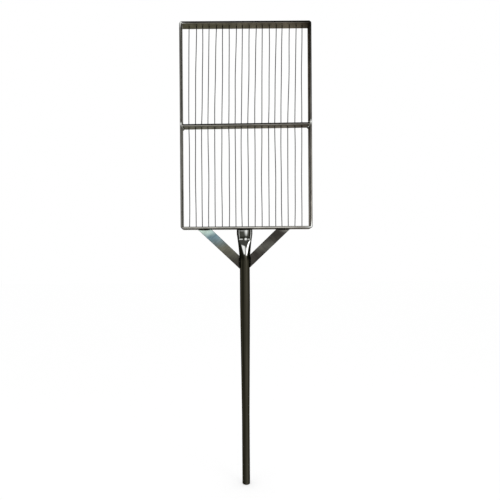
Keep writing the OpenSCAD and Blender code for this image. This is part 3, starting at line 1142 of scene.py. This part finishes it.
def brightness(sizes, s, x):
    """How bright the painted highlight on the pressed end is, or below 0 how dark its painted shade: s below
    the hoop and x from the axis.
    """
    across = x / half_width(sizes, s)
    # Painted highlights along both folds and on the lip under the crease
    fold, lip = press_marks(sizes, s, across)
    lip *= max(within(x, -15 * MM, -5.5 * MM, 1 * MM), 0.7 * within(x, 8 * MM, 14 * MM, 1 * MM))
    # Painted highlights: a patch that narrows downwards, and a bright line along the weld's edge
    glinting = bell(x, 4 * MM, 4.5 * MM - 0.12 * s) * fade(s, 6 * MM, 24 * MM)
    edge = bell(s, 4.5 * MM, 0.9 * MM) * within(across, -0.55, 0.0, 0.1)
    # A painted glint in a dot below the crease
    dot_glint = 1.8 * bell(math.hypot(x - 2.9 * MM, s - 26 * MM), 0, 2.5 * MM)
    # Painted highlights on the facets: the left one starts lower, and the right one runs up to the fold
    left_from = -7.5 * MM + 0.25 * (s - 46 * MM)
    left = within(x, left_from, 0.6 * MM, 1 * MM)
    left *= within(s, 41 * MM + 0.45 * (x + 9.3 * MM), 66 * MM, 1.5 * MM)
    right_from = 3 * MM + 11.5 * MM * math.exp((29 * MM - s) / (14 * MM))
    run = min(1, max(0, (s - 27 * MM) / (45 * MM)))
    right_to = right_from + 3.0 * MM * math.sqrt(math.sin(math.pi * run))
    right = within(x, right_from, right_to, 1 * MM) * within(s, 29 * MM, 69 * MM, 2 * MM)
    # A faint painted highlight along the crest
    crest = 0.2 * within(x, 0, 4 * MM, 1 * MM) * within(s, 48 * MM, 68 * MM, 3 * MM)
    fold *= 1.0 if x > 0 else 0.5
    bright = max(fold, lip, glinting, 0.45 * edge, dot_glint, left, right, crest)
    # Painted shade lies in the flanks, beside the folds and under the weld
    flank = fade(x - left_from, -3 * MM, 0) + fade(right_to - x, -3 * MM, 0)
    flank *= within(s, 36 * MM, 80 * MM, 6 * MM)
    flank += 1 - within(across, -0.78, 0.85, 0.02)
    flank += bell(across, 0.66, 0.09) * fade(s, 26 * MM, 32 * MM)
    band = 0.8 * bell(s, 22 * MM, 2.5 * MM) * within(across, -0.6, 0.6, 0.1)
    painted_shade = min(1, max(0.9 * min(1, flank), band))
    return bright - painted_shade * max(0, 1 - 3 * bright)


def mark_painted_light(mesh, sizes):
    """Note on the mesh the painted light at each point: painted highlight above 0 and painted shade below it.
    """
    layer = mesh.attributes.new("painted_light", "FLOAT", "POINT")
    for vertex, note in zip(mesh.vertices, layer.data):
        s = HOOP_LOW.z - vertex.co.z
        if s < sizes.press_length:
            note.value = brightness(sizes, s, vertex.co.x - HANDLE_X)


def disc_rings(sizes):
    """Rings of the turned disc and its spigot, from the rounded foot up."""
    radius = sizes.grip_diameter / 2
    edge = 2 * MM
    arc_steps = 8
    foot = 0.3 * radius
    spigot = radius - sizes.tube_wall
    # Radius and height of each ring
    turns = [math.pi / 2 * k / arc_steps for k in range(arc_steps + 1)]
    profile = [(foot, DISC_LOW.z)]
    profile += [(radius - edge + edge * math.sin(t), DISC_LOW.z + edge * (1 - math.cos(t))) for t in turns]
    profile += [(radius, TUBE_LOW.z), (spigot, TUBE_LOW.z), (spigot, DISC_HIGH.z)]
    return [circle(wide, z, TUBE_SIDES, HANDLE_X) for wide, z in profile]


class HARP_OT_handle(bpy.types.Operator):
    """Press, swage and close the tube handle"""

    bl_idname = "harp.handle"
    bl_label = "Handle"

    def execute(self, context):
        sizes = context.scene.harp_sizes
        tube_steel = drawn_tube_steel(context.scene.harp_colours)
        outer = tube_rings(sizes, 0.0)
        inner = tube_rings(sizes, sizes.tube_wall)
        skins = (
            ("swaged_tube", "handle_tube", list(reversed(inner)) + outer),
            ("end_disc", "handle_end_plug", disc_rings(sizes)),
        )
        for name, node, rings in skins:
            piece = add_object(name, skin_mesh(name, rings))
            mark_painted_light(piece.data, sizes)
            shade(piece)
            piece.data.materials.append(tube_steel)
            settle(piece, "tube", node)
        return {"FINISHED"}


# Braces


def brace_cut(sizes, side):
    """Reach of a brace along the hoop, its inner corner there, and where its two edges meet the tube.

    Distances are from the handle's axis and down from the hoop."""
    low, high = BRACE_BOXES[side]
    tube = sizes.tube_diameter / 2
    reach = max(abs(low.x - HANDLE_X), abs(high.x - HANDLE_X))
    drop = HOOP_LOW.z - low.z
    slope = drop / (reach - tube)
    inner = reach - sizes.brace_width / math.sin(math.atan(slope))
    return reach, inner, (inner - tube) * slope, drop


def strip_mesh(sizes, name, side):
    """Flat strip with eased edges, cut to the hoop above and to the tube's flank at its foot."""
    reach, inner, notch, drop = brace_cut(sizes, side)
    low, high = BRACE_BOXES[side]
    sink = 1 * MM
    ease = 0.9 * MM
    flank_steps = 8
    corner_angle = math.radians(30)
    top = HOOP_LOW.z
    outline = [(reach, top), (inner, top)]
    for k in range(flank_steps + 1):
        s = notch + (drop - notch) * k / flank_steps
        outline.append((half_width(sizes, s) - sink, top - s))
    bm = bmesh.new()
    face = bm.faces.new([bm.verts.new((HANDLE_X + side * x, low.y, z)) for x, z in outline])
    raised = bmesh.ops.extrude_face_region(bm, geom=[face])["geom"]
    moved = [item for item in raised if isinstance(item, bmesh.types.BMVert)]
    bmesh.ops.translate(bm, verts=moved, vec=(0, high.y - low.y, 0))
    bmesh.ops.recalc_face_normals(bm, faces=bm.faces)
    sharp = [edge for edge in bm.edges if edge.calc_face_angle() > corner_angle]
    bmesh.ops.bevel(bm, geom=sharp, offset=ease, segments=3, profile=0.5, affect="EDGES")
    # A bevel's order and last digits change from run to run, so points are rounded and all is sorted
    digits = 6
    places = {vert: tuple(round(value, digits) for value in vert.co) for vert in bm.verts}
    points = sorted(places.values())
    faces = []
    for face in bm.faces:
        corners = [points.index(places[vert]) for vert in face.verts]
        # A quad starts at its first or third corner, which keeps its diagonal
        starts = corners[::2] if len(corners) == 4 else corners
        first = corners.index(min(starts))
        faces.append(corners[first:] + corners[:first])
    bm.free()
    mesh = bpy.data.meshes.new(name)
    mesh.from_pydata(points, [], sorted(faces))
    return mesh


class HARP_OT_braces(bpy.types.Operator):
    """Cut the two brace strips to fit between the hoop and the tube"""

    bl_idname = "harp.braces"
    bl_label = "Braces"

    def execute(self, context):
        sizes = context.scene.harp_sizes
        colours = context.scene.harp_colours
        # Colours from the outer corner on, as shares of the reach of its heat tints and painted reflection
        tints = {
            "left": (
                (0.07, colours.painted_pale_reflection), (0.19, colours.tint_blue), (0.42, colours.tint_straw),
                (0.76, colours.brace),
            ),
            "right": (
                (0.0, colours.brace), (0.04, colours.edge_foot_left), (0.1, colours.brace),
                (0.24, colours.brace), (0.4, colours.edge_top_left), (0.56, colours.brace),
            ),
        }
        for side, word in ((-1, "left"), (1, "right")):
            reach, inner, notch, _ = brace_cut(sizes, side)
            piece = add_object("brace_strip_" + word, strip_mesh(sizes, word, side))
            shade(piece)
            corner = (HANDLE_X + side * reach, BRACE_BOXES[side][0].y, HOOP_LOW.z)
            turn = -side * math.atan2(notch, inner - sizes.tube_diameter / 2)
            piece.data.materials.append(
                brace_strip_steel(colours, f"Cold-rolled strip, {word} brace", corner, turn, tints[word])
            )
            settle(piece, "flat_bar", "brace_" + word)
        return {"FINISHED"}


# Weld beads


def seam_mesh(name, seams):
    """Mesh of bare edges along the seams."""
    points = []
    edges = []
    for seam in seams:
        edges += [(len(points) + k, len(points) + k + 1) for k in range(len(seam) - 1)]
        points += seam
    mesh = bpy.data.meshes.new(name)
    mesh.from_pydata(points, edges, [])
    return mesh


def cross_bar_seams():
    """Lines from front to back above and below both ends of the cross bar."""
    corners = [
        (x, CROSS_MID + side * CROSS_LEAN / 2 + face * BAR_T / 2)
        for x, side in ((CROSS_LOW.x, -1), (CROSS_HIGH.x, 1))
        for face in (-1, 1)
    ]
    return [[Vector((x, CROSS_LOW.y, z)), Vector((x, CROSS_HIGH.y, z))] for x, z in corners]


def handle_seams(sizes):
    """Lines under the hoop on the front and the back of the pressed end."""
    margin = 3 * MM
    reach = TAB_HALF - margin
    front = sizes.tab_thickness / 2
    return [[Vector((HANDLE_X + x, y, HOOP_LOW.z)) for x in (-reach, reach)] for y in (-front, front)]


def brace_seams(sizes, side):
    """Lines on both faces of a brace, under the hoop and along the tube's flank."""
    reach, inner, notch, drop = brace_cut(sizes, side)
    low, high = BRACE_BOXES[side]
    margin = 4 * MM
    steps = 8
    # Distance from the handle's axis and distance below the hoop of each point
    along_hoop = [(inner + margin, 0.0), (reach - margin / 2, 0.0)]
    flank = [notch + margin + (drop - notch - 2 * margin) * k / steps for k in range(steps + 1)]
    along_tube = [(half_width(sizes, s), s) for s in flank]
    return [
        [Vector((HANDLE_X + side * x, y, HOOP_LOW.z - s)) for x, s in line]
        for y in (low.y, high.y)
        for line in (along_hoop, along_tube)
    ]


def bead_tree():
    """Bead along the object's own seam lines, thick at each ripple and drawn in at both ends."""
    tree, given = new_tree(
        "Weld bead", {"Seams": "Geometry", "Leg": "Float", "Ripple": "Float", "Material": "Material"}
    )
    ring_step = 0.35 * MM
    ring_sides = 20
    # Thickness between two ripples, and power of the rounding at the ends: the nearer to 0, the blunter
    dip = 0.92
    end_power = 0.2
    seam = add_node(tree, "GeometryNodeMeshToCurve", {"Mesh": given["Seams"]})
    seam = add_node(tree, "GeometryNodeResampleCurve", {"Curve": seam, "Length": ring_step}, mode="LENGTH")
    spline = add_node(tree, "GeometryNodeSplineParameter").outputs
    wave = chain(tree, "ShaderNodeMath", spline["Length"], ("DIVIDE", given["Ripple"]), ("FRACT",))
    swell = add_node(tree, "ShaderNodeMapRange", {"Value": wave, "To Min": 1.0, "To Max": dip})
    size = chain(
        tree, "ShaderNodeMath", spline["Factor"],
        ("MULTIPLY", math.pi), ("SINE",), ("POWER", end_power),
        ("MULTIPLY", swell), ("MULTIPLY", given["Leg"]),
    )
    ring = add_node(tree, "GeometryNodeCurvePrimitiveCircle", {"Resolution": ring_sides, "Radius": 1.0})
    bead = add_node(
        tree, "GeometryNodeCurveToMesh",
        {"Curve": seam, "Profile Curve": ring, "Scale": size, "Fill Caps": True},
    )
    return close_tree(tree, bead, given["Material"])


class HARP_OT_welds(bpy.types.Operator):
    """Run the rippled fillet beads"""

    bl_idname = "harp.welds"
    bl_label = "Weld beads"

    def execute(self, context):
        sizes = context.scene.harp_sizes
        colours = context.scene.harp_colours
        # The cross bar's beads carry painted glints, and the beads under the hoop are heat-blackened and
        # darkened further as painted shadow
        glinting = weld_steel("Brushed weld bead with painted glints", (colours.weld, colours.tint_straw, colours.painted_light))
        shadowed_black = weld_steel("Heat-blackened weld bead in painted shadow", (colours.tube_painted_dark, colours.painted_shade_and_dark_weld, colours.weld))
        tree = bead_tree()
        # Distance between two ripples, in legs of the bead
        ripple = 0.55
        beads = (
            ("cross_bar_beads", "cross_bar_welds", glinting, sizes.bar_bead, cross_bar_seams()),
            ("handle_beads", "handle_welds", shadowed_black, sizes.strip_bead, handle_seams(sizes)),
            ("brace_beads_left", "brace_welds_left", shadowed_black, sizes.strip_bead, brace_seams(sizes, -1)),
            ("brace_beads_right", "brace_welds_right", shadowed_black, sizes.strip_bead, brace_seams(sizes, 1)),
        )
        for name, node, metal, leg, seams in beads:
            values = {"Leg": leg, "Ripple": ripple * leg, "Material": metal}
            piece = grow(name, tree, values, seam_mesh(name, seams))
            settle(piece, "weld", node)
        return {"FINISHED"}


class HARP_PT_panel(bpy.types.Panel):
    """Buttons that build the harp, piece by piece"""

    bl_idname = "HARP_PT_panel"
    bl_label = "Curd Harp"
    bl_space_type = "VIEW_3D"
    bl_region_type = "UI"
    bl_category = "Curd Harp"

    def draw(self, context):
        for operator in OPERATORS:
            self.layout.operator(operator.bl_idname)
        for group in (context.scene.harp_sizes, context.scene.harp_colours, context.scene.harp_stage):
            for name in group.__annotations__:
                self.layout.prop(group, name)


GROUPS = {"harp_sizes": HarpSizes, "harp_colours": HarpColours, "harp_stage": HarpStage}
OPERATORS = (
    HARP_OT_stage,
    HARP_OT_bars,
    HARP_OT_wires,
    HARP_OT_plugs,
    HARP_OT_handle,
    HARP_OT_braces,
    HARP_OT_welds,
)
CLASSES = (*GROUPS.values(), *OPERATORS, HARP_PT_panel)


def register():
    for cls in CLASSES:
        bpy.utils.register_class(cls)
    for name, group in GROUPS.items():
        setattr(bpy.types.Scene, name, bpy.props.PointerProperty(type=group))


def unregister():
    for name in GROUPS:
        delattr(bpy.types.Scene, name)
    for cls in reversed(CLASSES):
        bpy.utils.unregister_class(cls)


def main():
    register()
    bpy.ops.harp.stage()
    bpy.ops.harp.bars()
    bpy.ops.harp.wires()
    bpy.ops.harp.plugs()
    bpy.ops.harp.handle()
    bpy.ops.harp.braces()
    bpy.ops.harp.welds()


if __name__ == "__main__":
    main()
